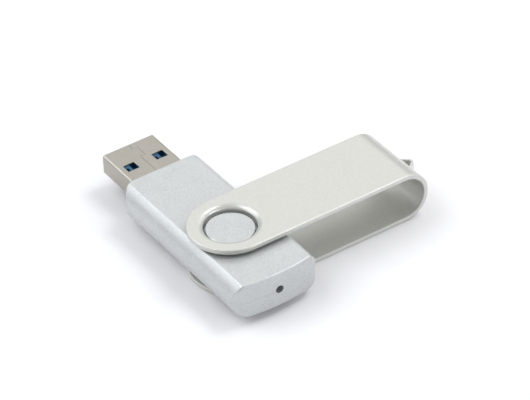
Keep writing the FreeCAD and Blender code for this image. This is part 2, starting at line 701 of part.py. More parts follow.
def make_tab_joints():
    """Solder fillets that hold the plug shell's tabs to the board."""
    body = new_body("tab_solder_joints")
    body.AllowCompound = True
    section = sketch_on(body, "section", "YZ_Plane", "-joint_front")
    wall = "(plug_half_width - plug_gauge)"
    for sign in (1, -1):
        draw_outline(section, [(f"{sign} * ({wall} - joint_width)", "board_top"),
                               (f"{sign} * {wall}", "board_top"),
                               (f"{sign} * {wall}", "board_top + tab_rise")])
    pad(body, section, "joint_length")


# ---------------------------------------------------------------- electronics

def make_circuit_board():
    """The board, narrow between the plug shell's tabs and wide behind them."""
    body = new_body("circuit_board")
    plan = sketch_on(body, "plan", "XY_Plane", "board_top - board_thickness")
    corners = [("-board_front", "-board_neck"), ("-board_shoulder", "-board_neck"),
               ("-board_shoulder", "-board_half_width"), ("board_tail", "-board_half_width"),
               ("board_tail", "board_half_width"), ("-board_shoulder", "board_half_width"),
               ("-board_shoulder", "board_neck"), ("-board_front", "board_neck")]
    draw_outline(plan, corners)
    pad(body, plan, "board_thickness")


def make_chip(label, centre_x, length, width, low_z, thickness, mark_down):
    """A moulded chip body with a round pin-one dimple."""
    body = new_body(label)
    plan = sketch_on(body, "plan", "XY_Plane", low_z)
    draw_rectangle(plan, f"{centre_x} - {length} / 2", f"{centre_x} + {length} / 2",
                   f"-{width} / 2", f"{width} / 2")
    pad(body, plan, thickness)
    mark = sketch_on(body, "mark", "XY_Plane", low_z if mark_down else f"{low_z} + {thickness}")
    inset = "2 * mark_radius"
    draw_circle(mark, f"{centre_x} - {length} / 2 + {inset}", f"-{width} / 2 + {inset}", "mark_radius")
    pocket(body, mark, "mark_depth", backwards=mark_down)


def make_flash_leads():
    """Two rows of gull-wing leads along the memory package's ends."""
    body = new_body("flash_leads")
    body.AllowCompound = True
    root = "flash_centre + flash_length / 2"
    shoulder = "board_top + 0.6"
    lead = sketch_on(body, "lead", "XZ_Plane", "lead_pitch * (lead_count - 1) / 2")
    corners = [(root, shoulder), (f"{root} + 0.22", shoulder),
               (f"{root} + 0.36", "board_top + lead_gauge"), (f"{root} + 0.8", "board_top + lead_gauge"),
               (f"{root} + 0.8", "board_top"), (f"{root} + 0.27", "board_top"),
               (f"{root} + 0.13", f"{shoulder} - lead_gauge"), (root, f"{shoulder} - lead_gauge")]
    draw_outline(lead, corners)
    first = pad(body, lead, "lead_width", symmetric=True)

    mirror_plane = body.newObject("PartDesign::Plane", "flash_mirror_plane")
    origin_plane = [item for item in body.Origin.OriginFeatures if item.Role == "YZ_Plane"][0]
    mirror_plane.AttachmentSupport = [(origin_plane, "")]
    mirror_plane.MapMode = "FlatFace"
    mirror_plane.setExpression("AttachmentOffset.Base.z", linked("flash_centre"))
    rows = body.newObject("PartDesign::MultiTransform", "flash_lead_rows")
    rows.Originals = [first]
    steps = body.newObject("PartDesign::LinearPattern", "flash_lead_steps")
    steps.Direction = (lead, ["N_Axis"])
    steps.Reversed = True
    steps.setExpression("Length", linked("lead_pitch * (lead_count - 1)"))
    steps.setExpression("Occurrences", linked("lead_count"))
    flip = body.newObject("PartDesign::Mirrored", "flash_lead_mirror")
    flip.MirrorPlane = (mirror_plane, [""])
    rows.Transformations = [steps, flip]
    body.Tip = rows
    DOC.recompute()


UNDERSIDE = "(board_top - board_thickness)"
TERMINALS_PER_SIDE = 12
TERMINAL_HALF_WIDTH = 0.12
TERMINAL_LENGTH = 0.6
THERMAL_PAD_HALF = 2.2


def make_controller():
    """The controller under the board, with its edge terminals and thermal pad."""
    roof = f"({UNDERSIDE} - terminal_gauge)"
    floor = f"({roof} - controller_thickness)"
    make_chip("controller_chip", "-controller_centre", "controller_size", "controller_size",
              floor, "controller_thickness", True)
    edge = value("controller_size / 2")
    pitch = value("lead_pitch")
    pads = []
    for step in range(TERMINALS_PER_SIDE):
        along = pitch * (step - (TERMINALS_PER_SIDE - 1) / 2)
        low, high = along - TERMINAL_HALF_WIDTH, along + TERMINAL_HALF_WIDTH
        pads.append(("east", step, edge - TERMINAL_LENGTH, edge, low, high))
        pads.append(("west", step, -edge, -edge + TERMINAL_LENGTH, low, high))
        pads.append(("north", step, low, high, edge - TERMINAL_LENGTH, edge))
        pads.append(("south", step, low, high, -edge, -edge + TERMINAL_LENGTH))
    pads.append(("thermal", 0, -THERMAL_PAD_HALF, THERMAL_PAD_HALF, -THERMAL_PAD_HALF, THERMAL_PAD_HALF))
    members = [block(f"terminal_{side}_{step}", f"-controller_centre + {left}",
                     f"-controller_centre + {right}", low, high, roof, UNDERSIDE)
               for side, step, left, right, low, high in pads]
    group("controller_terminals", members)


def make_crystal():
    """The clock crystal under the board: ceramic base and metal lid."""
    for label, name, step, low, high in (
            ("crystal_base", "crystal_ceramic", "0", f"{UNDERSIDE} - crystal_base", UNDERSIDE),
            ("crystal_lid", "crystal_cap", "crystal_lid", f"{UNDERSIDE} - crystal_base - crystal_lid",
             f"{UNDERSIDE} - crystal_base")):
        length = f"(crystal_length / 2 - {step})"
        width = f"(crystal_width / 2 - {step})"
        group(label, [block(name, f"crystal_centre - {length}", f"crystal_centre + {length}",
                            f"-{width}", width, low, high)])


REGULATOR_LEADS = [(-0.95, -1), (0.0, -1), (0.95, -1), (-0.95, 1), (0.95, 1)]
REGULATOR_LEAD_HALF_WIDTH = 0.2
REGULATOR_LEAD_BEND = 0.45
REGULATOR_LEAD_FOOT = 0.7


def make_regulator():
    """The small voltage regulator under the board, with five bent leads."""
    floor = f"({UNDERSIDE} - chip_standoff - regulator_thickness)"
    make_chip("regulator_chip", "regulator_centre", "regulator_length", "regulator_width",
              floor, "regulator_thickness", True)
    gauge = value("lead_gauge")
    face = value("regulator_width / 2")
    knee_reach = face + REGULATOR_LEAD_BEND
    level = value(UNDERSIDE) - REGULATOR_LEAD_FOOT
    leads = []
    for number, (along, side) in enumerate(REGULATOR_LEADS):
        x = value("regulator_centre") + along
        left, right = x - REGULATOR_LEAD_HALF_WIDTH, x + REGULATOR_LEAD_HALF_WIDTH
        name = f"regulator_lead_{number}"
        pieces = []
        for piece, start, stop, low, high in (
                ("arm", face, knee_reach, level, f"{level} + lead_gauge"),
                ("knee", knee_reach - gauge, knee_reach, level, UNDERSIDE),
                ("foot", knee_reach - gauge, knee_reach + 2 * gauge, f"{UNDERSIDE} - lead_gauge", UNDERSIDE)):
            near_y, far_y = sorted((side * start, side * stop))
            pieces.append(block(f"{name}_{piece}", left, right, near_y, far_y, low, high))
        lead = DOC.addObject("Part::MultiFuse", name)
        lead.Shapes = pieces
        leads.append(lead)
    group("regulator_leads", leads)


TOP_CAPACITORS = [(-14.9, -2.6), (-14.9, -1.3), (-14.9, 0.0), (-14.9, 1.3), (-14.9, 2.6)]
BOTTOM_CAPACITORS = [(-13.6, -2.0), (-13.6, 0.0), (-13.6, 2.0), (-2.6, -3.2), (-2.6, 3.2), (9.4, 0.0)]
TOP_RESISTORS = [(-12.2, -3.4), (-12.2, -1.7), (-12.2, 0.0), (-12.2, 1.7), (-12.2, 3.4)]
BOTTOM_RESISTORS = [(3.9, -2.6), (3.9, 2.6), (9.4, -2.2), (9.4, 2.2)]


def make_passives(label, top_places, bottom_places, height):
    """Small two-terminal parts: one group for their bodies and one for their ends."""
    bodies = []
    ends = []
    levels = [(top_places, "board_top", f"board_top + {height}"),
              (bottom_places, f"board_top - board_thickness - {height}", "board_top - board_thickness")]
    for places, low, high in levels:
        for number, (x, y) in enumerate(places):
            tag = f"{label}_{'upper' if low == 'board_top' else 'lower'}_{number}"
            bodies.append(block(tag, x - 0.25, x + 0.25, y - 0.25, y + 0.25, low, high))
            ends.append(block(tag + "_a", x - 0.5, x - 0.25, y - 0.25, y + 0.25, low, high))
            ends.append(block(tag + "_b", x + 0.25, x + 0.5, y - 0.25, y + 0.25, low, high))
    group(label + "_bodies", bodies)
    group(label + "_terminals", ends)


def make_status_light():
    """The light at the board's tail: a flat base and a clear moulded top."""
    body = new_body("status_light_base")
    base = sketch_on(body, "base", "XY_Plane", "board_top")
    draw_rectangle(base, "light_front", "light_front + light_length", "-light_width / 2", "light_width / 2")
    pad(body, base, "light_base")
    lens = new_body("status_light_lens")
    side = sketch_on(lens, "side", "XZ_Plane")
    foot, roof = "board_top + light_base", "board_top + light_base + lens_height"
    rear = "light_front + light_length"
    draw_outline(side, [("light_front + lens_inset", foot), (f"{rear} - lens_inset", foot),
                        (f"{rear} - 2 * lens_inset", roof), ("light_front + 2 * lens_inset", roof)])
    pad(lens, side, "light_width - 0.6", symmetric=True)


# ---------------------------------------------------------------- assembly

def check_document():
    """Stop if any object failed or any sub-part has no valid solid."""
    for item in DOC.Objects:
        if "Invalid" in item.State or "Error" in item.State:
            raise RuntimeError(f"{item.Name} is {item.State}")
    for piece in PARTS:
        if piece.Shape.isNull() or not piece.Shape.isValid():
            raise RuntimeError(f"{piece.Label} has no valid shape")


def write_parts():
    """Write each sub-part's shape to a file named by its label."""
    os.makedirs("parts", exist_ok=True)
    for piece in PARTS:
        piece.Shape.exportStep(os.path.join("parts", piece.Label + ".step"))
        box = piece.Shape.BoundBox
        print(f"{piece.Label:28s} solids {len(piece.Shape.Solids):3d} volume {piece.Shape.Volume:9.3f}"
              f"  x {box.XMin:7.2f} {box.XMax:7.2f}  y {box.YMin:7.2f} {box.YMax:7.2f}"
              f"  z {box.ZMin:6.2f} {box.ZMax:6.2f}")


fill_sheet()
make_swivel_cover()
make_shell("upper_shell", 1, "case_top", "case_flat_half")
make_shell("lower_shell", -1, "case_bottom", "case_base_half")
make_plug_shell()
make_insulator()
make_contact_spacer()
for name, pad_centre, strip_centre in USB_TWO_CONTACTS:
    make_flat_contact(name, pad_centre, strip_centre)
for name, spring_centre in FAST_CONTACTS:
    make_spring_contact(name, spring_centre)
make_circuit_board()
make_tab_joints()
make_chip("flash_chip", "flash_centre", "flash_length", "flash_width", "board_top + chip_standoff",
          "flash_thickness", False)
make_flash_leads()
make_controller()
make_crystal()
make_regulator()
make_passives("capacitor", TOP_CAPACITORS, BOTTOM_CAPACITORS, 0.5)
make_passives("resistor", TOP_RESISTORS, BOTTOM_RESISTORS, 0.3)
make_status_light()
DOC.recompute()
check_document()
write_parts()
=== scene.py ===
"""Looks for a usb flash drive with a swivel cover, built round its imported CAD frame.

Meshes are modelled in millimetres about the pivot axis, z up from the table, and
then moved to the row frame in metres.
"""

import math

import bmesh
import bpy
from mathutils import Matrix, Vector


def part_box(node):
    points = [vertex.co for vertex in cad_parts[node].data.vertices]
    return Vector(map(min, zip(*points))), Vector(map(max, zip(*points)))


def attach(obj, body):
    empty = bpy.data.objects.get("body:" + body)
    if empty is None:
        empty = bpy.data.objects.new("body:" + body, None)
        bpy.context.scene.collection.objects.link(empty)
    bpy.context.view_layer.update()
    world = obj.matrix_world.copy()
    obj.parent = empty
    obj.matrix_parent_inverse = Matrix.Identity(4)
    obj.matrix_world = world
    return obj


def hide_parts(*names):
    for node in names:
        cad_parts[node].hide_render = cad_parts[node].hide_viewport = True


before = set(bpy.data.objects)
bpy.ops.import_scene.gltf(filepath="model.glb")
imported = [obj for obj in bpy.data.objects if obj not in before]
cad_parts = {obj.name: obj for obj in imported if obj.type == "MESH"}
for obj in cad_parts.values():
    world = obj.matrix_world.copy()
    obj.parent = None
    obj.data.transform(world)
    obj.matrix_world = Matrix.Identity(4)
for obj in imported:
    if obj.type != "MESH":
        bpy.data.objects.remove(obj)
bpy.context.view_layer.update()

# ---------------------------------------------------------------- sizes, in millimetres

MM = 0.001
MID_HEIGHT = 5.5        # mid plane of the plug, the cover and the status hole

COVER_HALF = 8.5        # half width of the cover, and radius of its round end
GAUGE = 1.0             # thickness of the cover's sheet
OUTER_EDGE = 0.24       # rounding of the sheet's edge on its outer face
INNER_EDGE = 0.16       # and on its inner face
BEND_REACH = 35.2       # pivot to the axis of the cover's bend
BEND_RADIUS = 5.0       # radius of the middle of the bent sheet
HOLE = 5.33             # inside radius of the collar
MOUTH = 6.45            # radius where the collar's draw curve meets the plate
MOUTH_DEPTH = 0.67      # how deep that curve goes
MOUTH_SWEEP = 50        # degrees of the curve
COLLAR = 6.05           # outside radius of the collar
COLLAR_END = 3.5        # collar's end face to the mid plane
COLLAR_EDGE = 0.08      # rounding of that end face

STRAP_CENTRE = 42.32    # pivot to the axis of the lanyard strap's rounded tip
STRAP_MIDDLE = 0.63     # radius of the middle of the strap at its tip
STRAP_SLOPE = 50.7      # slope of its legs, in degrees
STRAP_LEG = 3.25        # length of a leg, down to its buried foot
STRAP_GAUGE = 0.5
STRAP_HEIGHT = 2.0
STRAP_EDGE = 0.14       # rounding of its edges
SLOT_HALF = 1.45        # half width of the slot that it was pushed out of
SLOT_TOOL = (38.0, 42.0)  # y range of the tool that cuts the slot

CASE_HALF = 9.75        # half width of the case at the parting line
FLAT_HALF = 7.6         # half width where the side arc would meet the flat top
BASE_HALF = 6.8         # and where it would meet the flat bottom
TOP_BLEND = 0.8         # radius between the side arc and the flat top
BASE_BLEND = 1.2        # and between it and the flat bottom
CASE_FRONT = 24.6       # pivot to the face that the plug comes out of
CASE_TAIL = 16.4        # pivot to the middle of the curved tail
TAIL_RADIUS = 40.0      # plan radius of the tail
FRONT_CORNER = 3.4      # plan radii of the corners
TAIL_CORNER = 2.4
PARTING = 5.2           # heights of the parting plane and the two flats
CASE_TOP = 9.4
CASE_BOTTOM = 1.6
EDGE_SOFT = 0.5         # plan radius where a side blend runs into an end face
END_ROUND = 0.28        # rounding between the end faces and the flats
PARTING_BEVEL = 0.045   # bevel of each shell along the parting line
WALL = 1.1              # thickness of the side walls
SKIN = 1.3              # thickness of the top and bottom walls
CAVITY_FRONT = 23.0     # pivot to the two ends of the inside
CAVITY_TAIL = 13.4
CAVITY_CORNER = 0.6
GROOVE = 6.13           # outside radius of the groove that the collar turns in
GROOVE_DEPTH = 0.65
GROOVE_EDGE = 0.08
BOSS = 4.85             # radius of the boss inside the groove
BOSS_RISE = 0.5         # its height over the flat
BOSS_EDGE = 0.24
LAMP_HOLE = 0.85        # radius of the status hole
LAMP_TOOL = (12.0, 18.0)  # x range of the tool that cuts it

PLUG_TIP = 36.8         # pivot to the plug's open end
PLUG_REAR = 18.5        # pivot to the tube's end inside the case
PLUG_HALF = 6.0
PLUG_LOW = 3.25
PLUG_HIGH = 7.75
PLUG_GAUGE = 0.3
PLUG_CORNER = 0.6
PLUG_EDGE = 0.09        # bevel of the open end
PLUG_GAP = 0.03         # gap between the plug and the case
PLUG_TOOL = (-26.0, -22.0)  # x range of the tool that cuts the case open for the plug
WINDOW_X = (-31.4, -29.2)
WINDOW_Y = (2.05, 4.6)
WINDOW_CORNER = 0.18
WINDOW_LIP = 0.07       # how far a window widens at the outer face
SEAM_NECK = (-34.9, -32.3)  # x range of the dovetail at the seam's own line
SEAM_HEAD = (-35.2, -32.0)  # and where it is widest
SEAM_DEPTH = 1.1        # from the seam's line to that place
SEAM_HALF = 0.012       # half width of the closed seam
SEAM_OPEN = 0.07        # half width, and depth, of its bevelled top
SEAM_TOOL = 0.75        # how far the seam's tool reaches over and under the tube's top
TAB_X = (-19.5, -16.0)  # the solder tabs behind the tube
TAB_Z = (4.3, 6.0)
PAST = 1.25             # how far the window tools stand past the tube

cover_low, cover_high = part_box("swivel_cover")
PIVOT = Vector(((cover_low.x + cover_high.x) / 2, cover_low.y + COVER_HALF * MM, 0))
TO_ROW = Matrix.Translation(PIVOT) @ Matrix.Scale(MM, 4)


# ---------------------------------------------------------------- mesh helpers

def ring(bm, points):
    """New vertices at the points."""
    return [bm.verts.new(point) for point in points]


def strip(bm, first, second, closed=True):
    """Faces between two rings with as many vertices."""
    count = len(first)
    for i in range(count if closed else count - 1):
        j = (i + 1) % count
        bm.faces.new((first[i], first[j], second[j], second[i]))


def loft(bm, rings, closed=True):
    for first, second in zip(rings, rings[1:]):
        strip(bm, first, second, closed)


def fill(bm, *loops):
    """Cover a flat region between closed loops of vertices."""
    edges = []
    for loop in loops:
        for i, vert in enumerate(loop):
            pair = (vert, loop[(i + 1) % len(loop)])
            edges.append(bm.edges.get(pair) or bm.edges.new(pair))
    bmesh.ops.triangle_fill(bm, use_beauty=True, use_dissolve=False, edges=edges)


def solid(name, bm):
    """A closed mesh object, still in millimetres about the pivot."""
    bmesh.ops.remove_doubles(bm, verts=bm.verts, dist=1e-4)
    bmesh.ops.recalc_face_normals(bm, faces=bm.faces)
    mesh = bpy.data.meshes.new(name)
    bm.to_mesh(mesh)
    bm.free()
    piece = bpy.data.objects.new(name, mesh)
    bpy.context.scene.collection.objects.link(piece)
    return piece


def bake(piece):
    """Make the result of a piece's modifiers its own mesh."""
    seen = piece.evaluated_get(bpy.context.evaluated_depsgraph_get())
    mesh = bpy.data.meshes.new_from_object(seen)
    piece.modifiers.clear()
    piece.data = mesh


def combine(piece, tools, operation="DIFFERENCE"):
    """Cut tools from a piece, or join them to it, and drop the tools."""
    for tool in tools:
        step = piece.modifiers.new("combine", "BOOLEAN")
        step.object = tool
        step.operation = operation
        step.solver = "EXACT"
    bpy.context.view_layer.update()
    bake(piece)
    for tool in tools:
        bpy.data.objects.remove(tool)


def prism(name, outlines):
    """A solid through outlines of equal length, one after the other."""
    bm = bmesh.new()
    rings = [ring(bm, outline) for outline in outlines]
    loft(bm, rings)
    fill(bm, rings[0])
    fill(bm, rings[-1])
    return solid(name, bm)


def box(name, low, high):
    """A block between two opposite corners."""
    corners = [(low[0], low[1]), (high[0], low[1]), (high[0], high[1]), (low[0], high[1])]
    return prism(name, [[(x, y, z) for x, y in corners] for z in (low[2], high[2])])


def circle(radius, z, steps=96):
    turns = [2 * math.pi * i / steps for i in range(steps)]
    return [(radius * math.cos(t), radius * math.sin(t), z) for t in turns]


def arc_points(centre, radius, start, stop, steps):
    """Points of an arc in a plane, angles in degrees."""
    points = []
    for i in range(steps + 1):
        a = math.radians(start + (stop - start) * i / steps)
        points.append((centre[0] + radius * math.cos(a), centre[1] + radius * math.sin(a)))
    return points


def soft_rectangle(left, right, low, high, radius, steps):
    """A rectangle with rounded corners, in a plane."""
    centres = ((right - radius, high - radius), (left + radius, high - radius),
               (left + radius, low + radius), (right - radius, low + radius))
    points = []
    for start, centre in zip((0, 90, 180, 270), centres):
        points += arc_points(centre, radius, start, start + 90, steps)
    return points


def cross_section(x, half_width, low, high, radius, steps=6):
    """A rounded rectangle across the drive, at one x."""
    return [(x, y, z) for y, z in
            soft_rectangle(-half_width, half_width, low, high, radius, steps)]


def weight_normals(piece):
    """Let the large faces decide how the small ones beside them are shaded."""
    normals = piece.modifiers.new("normals", "WEIGHTED_NORMAL")
    normals.keep_sharp = True
    normals.weight = 100


def settle(piece, body, slot, node, crease):
    """Move a finished piece to the row frame, give it its finish, attach it to its body and hide
    the CAD node that it stands for.

    Its shading is smooth, and breaks where faces meet at more than crease degrees.
    """
    piece.data.transform(TO_ROW)
    piece.data.shade_smooth()
    piece.data.set_sharp_from_angle(angle=math.radians(crease))
    weight_normals(piece)
    piece.data.materials.clear()
    piece.data.materials.append(FINISH[slot])
    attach(piece, body)
    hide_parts(node)


# ---------------------------------------------------------------- materials

class Paint:
    """Grows one node material whose patterns are measured in millimetres."""

    def __init__(self, name, metallic=0.0, **sockets):
        self.material = bpy.data.materials.new(name)
        self.material.use_nodes = True
        self.tree = self.material.node_tree
        self.surface = self.tree.nodes["Principled BSDF"]
        self.surface.inputs["Metallic"].default_value = metallic
        for socket, setting in sockets.items():
            self.surface.inputs[socket.replace("_", " ")].default_value = setting
        self.normal = None

    def node(self, kind, inputs=(), **settings):
        """A shader node whose inputs are given as values or as other nodes' outputs."""
        made = self.tree.nodes.new("ShaderNode" + kind)
        for field, setting in settings.items():
            setattr(made, field, setting)
        for socket, setting in dict(inputs).items():
            if isinstance(setting, bpy.types.NodeSocket):
                self.tree.links.new(setting, made.inputs[socket])
            else:
                made.inputs[socket].default_value = setting
        return made

    def place(self, stretch=(1, 1, 1)):
        """Object coordinates in millimetres."""
        where = self.node("TexCoord").outputs["Object"]
        scale = tuple(s / MM for s in stretch)
        return self.node("Mapping", {"Vector": where, "Scale": scale}).outputs["Vector"]

    def noise(self, size, detail=2.0, stretch=(1, 1, 1), rough=0.5):
        """Noise with features of about this size."""
        inputs = {"Vector": self.place(stretch), "Scale": 1 / size,
                  "Detail": detail, "Roughness": rough}
        return self.node("TexNoise", inputs).outputs[0]

    def flakes(self, size):
        """Cells of this size, each with its own level from 0 to 1."""
        cells = self.node("TexVoronoi", {"Vector": self.place(), "Scale": 1 / size})
        return self.node("SeparateColor", {"Color": cells.outputs["Color"]}).outputs[0]

    def spread(self, pattern, low, high, start=0.3, stop=0.7):
        """Map a pattern's values between start and stop to low and high."""
        inputs = {"Value": pattern, "From Min": start, "From Max": stop,
                  "To Min": low, "To Max": high}
        return self.node("MapRange", inputs).outputs["Result"]

    def blend(self, factor, first, second):
        """A mix of two colours, by a pattern."""
        made = self.node("Mix", data_type="RGBA")
        for socket, setting in ((made.inputs[0], factor), (made.inputs[6], first),
                                (made.inputs[7], second)):
            if isinstance(setting, bpy.types.NodeSocket):
                self.tree.links.new(setting, socket)
            elif isinstance(setting, tuple):
                socket.default_value = (*setting, 1.0)
            else:
                socket.default_value = setting
        return made.outputs[2]

    def colour(self, source):
        self.tree.links.new(source, self.surface.inputs["Base Color"])

    def gloss(self, source):
        self.tree.links.new(source, self.surface.inputs["Roughness"])

    def bump(self, height, strength, distance):
        """Relief over a height map; distance is in millimetres."""
        inputs = {"Height": height, "Strength": strength, "Distance": distance * MM}
        if self.normal is not None:
            inputs["Normal"] = self.normal
        self.normal = self.node("Bump", inputs).outputs["Normal"]
        self.tree.links.new(self.normal, self.surface.inputs["Normal"])


def finish(name, light, dark, roughness, grain, metallic=0.0, mottle=4.0, relief=(0.1, 0.01),
           stretch=(1, 1, 1), **sockets):
    """A moulded, painted or plated finish: fine grain, slow mottling and relief."""
    paint = Paint(name, metallic, **sockets)
    fine = paint.noise(grain, 2.0, stretch)
    slow = paint.noise(mottle, 3.0)
    base = paint.blend(paint.spread(fine, 0.0, 1.0), dark, light)
    dull = tuple(c * 0.94 for c in light)
    paint.colour(paint.blend(paint.spread(slow, 0.0, 0.35), base, dull))
    paint.gloss(paint.spread(fine, *roughness))
    paint.bump(fine, *relief)
    return paint


def lacquer(name, light, dark, roughness, metallic, **sockets):
    """Silver lacquer: metal flakes under a thin clear film with faint orange peel."""
    paint = Paint(name, metallic, **sockets)
    flake = paint.flakes(0.18)
    fine = paint.noise(0.35, 2.0)
    slow = paint.noise(6.0, 2.0)
    dull = tuple(c * 0.965 for c in light)
    speck = paint.blend(flake, dark, light)
    paint.colour(paint.blend(paint.spread(slow, 0.0, 0.5, start=0.35), speck, dull))
    paint.gloss(paint.spread(fine, *roughness))
    paint.bump(paint.noise(0.22, 3.0), 0.16, 0.008)
    paint.bump(paint.noise(1.3, 1.0), 0.10, 0.02)
    return paint


def plated_steel():
    """Nickel-plated strip: drawn lines along the plug, fine pitting and handling marks."""
    paint = Paint("plug_steel", 1.0)
    lines = paint.noise(0.5, 4.0, (0.12, 6.0, 6.0), 0.6)
    pits = paint.noise(0.14, 3.0)
    slow = paint.noise(5.0, 2.0)
    base = paint.blend(paint.spread(lines, 0.0, 1.0),
                       (0.405, 0.384, 0.348), (0.505, 0.483, 0.446))
    grainy = paint.blend(paint.spread(pits, 0.0, 0.45), base, (0.345, 0.323, 0.287))
    paint.colour(paint.blend(paint.spread(slow, 0.0, 0.35, start=0.35), grainy,
                             (0.475, 0.446, 0.394)))
    paint.gloss(paint.spread(pits, 0.30, 0.42))
    paint.bump(lines, 0.12, 0.006)
    paint.bump(pits, 0.16, 0.006)
    return paint


def circuit_mask():
    """Green solder mask over copper tracks, with bare edges of glass cloth."""
    paint = Paint("board_green", 0.0, Coat_Weight=0.4, Coat_Roughness=0.15)
    inputs = {"Vector": paint.place(), "Scale": 1.4, "Color1": (0.012, 0.09, 0.03, 1),
              "Color2": (0.016, 0.12, 0.04, 1), "Mortar": (0.006, 0.05, 0.018, 1),
              "Mortar Size": 0.03, "Brick Width": 1.6, "Row Height": 0.34}
    tracks = paint.node("TexBrick", inputs)
    weave = paint.noise(0.25, 2.0, (1, 3, 1))
    paint.colour(paint.blend(paint.spread(weave, 0.0, 0.3),
                             tracks.outputs["Color"], (0.02, 0.14, 0.05)))
    paint.gloss(paint.spread(weave, 0.28, 0.4))
    paint.bump(tracks.outputs["Fac"], 0.3, 0.02)
    return paint


FINISH = {slot: paint.material for slot, paint in {
    "cover_metal": lacquer("cover_metal", (0.66, 0.66, 0.625), (0.60, 0.60, 0.565),
                           (0.36, 0.44), 0.55, Coat_Weight=0.3, Coat_Roughness=0.15),
    "case_paint": lacquer("case_paint", (0.625, 0.645, 0.652), (0.50, 0.52, 0.528),
                          (0.38, 0.48), 0.55, Coat_Weight=0.3, Coat_Roughness=0.15),
    "plug_steel": plated_steel(),
    "insulator_blue": finish("insulator_blue", (0.008, 0.085, 0.19), (0.006, 0.065, 0.15),
                             (0.32, 0.42), 0.12, relief=(0.12, 0.01),
                             Subsurface_Weight=0.05),
    "spacer_black": finish("spacer_black", (0.02, 0.02, 0.022), (0.013, 0.013, 0.014),
                           (0.45, 0.6), 0.1),
    "contact_gold": finish("contact_gold", (0.86, 0.62, 0.27), (0.76, 0.52, 0.21),
                           (0.18, 0.3), 0.1, metallic=1.0, stretch=(0.15, 4, 4)),
    "board_green": circuit_mask(),
    "solder_tin": finish("solder_tin", (0.72, 0.72, 0.71), (0.58, 0.58, 0.58),
                         (0.22, 0.4), 0.2, metallic=1.0, relief=(0.3, 0.03)),
    "chip_black": finish("chip_black", (0.028, 0.028, 0.03), (0.018, 0.018, 0.019),
                         (0.5, 0.66), 0.07, relief=(0.25, 0.01)),
    "lead_tin": finish("lead_tin", (0.7, 0.69, 0.67), (0.55, 0.54, 0.52),
                       (0.25, 0.4), 0.08, metallic=1.0),
    "ceramic_grey": finish("ceramic_grey", (0.3, 0.28, 0.26), (0.22, 0.2, 0.19),
                           (0.5, 0.65), 0.08),
    "lid_steel": finish("lid_steel", (0.66, 0.65, 0.62), (0.55, 0.54, 0.51),
                        (0.2, 0.35), 0.1, metallic=1.0, stretch=(0.2, 4, 4)),
    "capacitor_tan": finish("capacitor_tan", (0.42, 0.3, 0.18), (0.32, 0.22, 0.13),
                            (0.4, 0.55), 0.08),
    "resistor_dark": finish("resistor_dark", (0.03, 0.03, 0.035), (0.018, 0.018, 0.02),
                            (0.25, 0.4), 0.08),
    "light_white": finish("light_white", (0.75, 0.74, 0.7), (0.66, 0.65, 0.61),
                          (0.4, 0.5), 0.1, Subsurface_Weight=0.1),
    "light_clear": finish("light_clear", (0.8, 0.72, 0.42), (0.72, 0.64, 0.36),
                          (0.12, 0.22), 0.15, Transmission_Weight=0.6, IOR=1.5),
}.items()}


# ---------------------------------------------------------------- swivel cover

# Steps of the cover's mesh: along a plate, round the bend, round a plate's end, across
# the bend, and down the collar's mouth.
PLATE_STEPS, BEND_STEPS, END_STEPS, ROW_STEPS, MOUTH_STEPS = 16, 36, 64, 8, 10


def cover_stations():
    """Stations round the sheet's rim, each a point on the middle of the sheet's edge, the
    direction out of the edge and the direction to the outer face.

    They go over the bend along one leg, round the lower plate's end, back over the bend
    along the other leg, and round the upper plate's end.
    """
    top = MID_HEIGHT + BEND_RADIUS
    low = MID_HEIGHT - BEND_RADIUS
    up = Vector((0, 0, 1))
    straight = [BEND_REACH * i / PLATE_STEPS for i in range(PLATE_STEPS + 1)]
    bend = [math.pi * i / BEND_STEPS for i in range(1, BEND_STEPS)]
    round_end = [math.pi * i / END_STEPS for i in range(1, END_STEPS)]
    legs = []
    for side in (1, -1):
        out = Vector((side, 0, 0))
        leg = [(Vector((side * COVER_HALF, y, top)), out, up) for y in straight]
        for a in bend:
            face = Vector((0, math.sin(a), math.cos(a)))
            centre = Vector((side * COVER_HALF, BEND_REACH, MID_HEIGHT))
            leg.append((centre + face * BEND_RADIUS, out, face))
        leg += [(Vector((side * COVER_HALF, y, low)), out, -up) for y in reversed(straight)]
        legs.append(leg)
    ends = []
    for z, face in ((low, -up), (top, up)):
        end = []
        for a in round_end:
            out = Vector((math.cos(a), -math.sin(a), 0))
            end.append((Vector((0, 0, z)) + out * COVER_HALF, out, face))
        ends.append(end)
    return legs[0] + ends[0] + legs[1][::-1] + ends[1][::-1]


def rim_profile():
    """Across the sheet's rounded edge from the outer face, as (reach, lift)."""
    half = GAUGE / 2
    outer = arc_points((-OUTER_EDGE, half - OUTER_EDGE), OUTER_EDGE, 90, 0, 5)
    inner = arc_points((-INNER_EDGE, INNER_EDGE - half), INNER_EDGE, 0, -90, 3)
    return outer + inner


def collar_profile():
    """Section of a drawn collar from the plate's outer face round to its inner face, as
    (radius, lift from the middle of the sheet)."""
    sweep = math.radians(MOUTH_SWEEP)
    across = (MOUTH - HOLE) / math.sin(sweep)
    down = MOUTH_DEPTH / (1 - math.cos(sweep))
    section = []
    for i in range(MOUTH_STEPS + 1):
        a = sweep * i / MOUTH_STEPS
        section.append((MOUTH - across * math.sin(a), GAUGE / 2 - down * (1 - math.cos(a))))
    wall = COLLAR_END - BEND_RADIUS
    edge, nick = COLLAR_EDGE, COLLAR_EDGE * 0.3
    section += [(HOLE, wall + edge), (HOLE + nick, wall + nick), (HOLE + edge, wall),
                (COLLAR - edge, wall), (COLLAR - nick, wall + nick), (COLLAR, wall + edge),
                (COLLAR, -GAUGE / 2)]
    return section


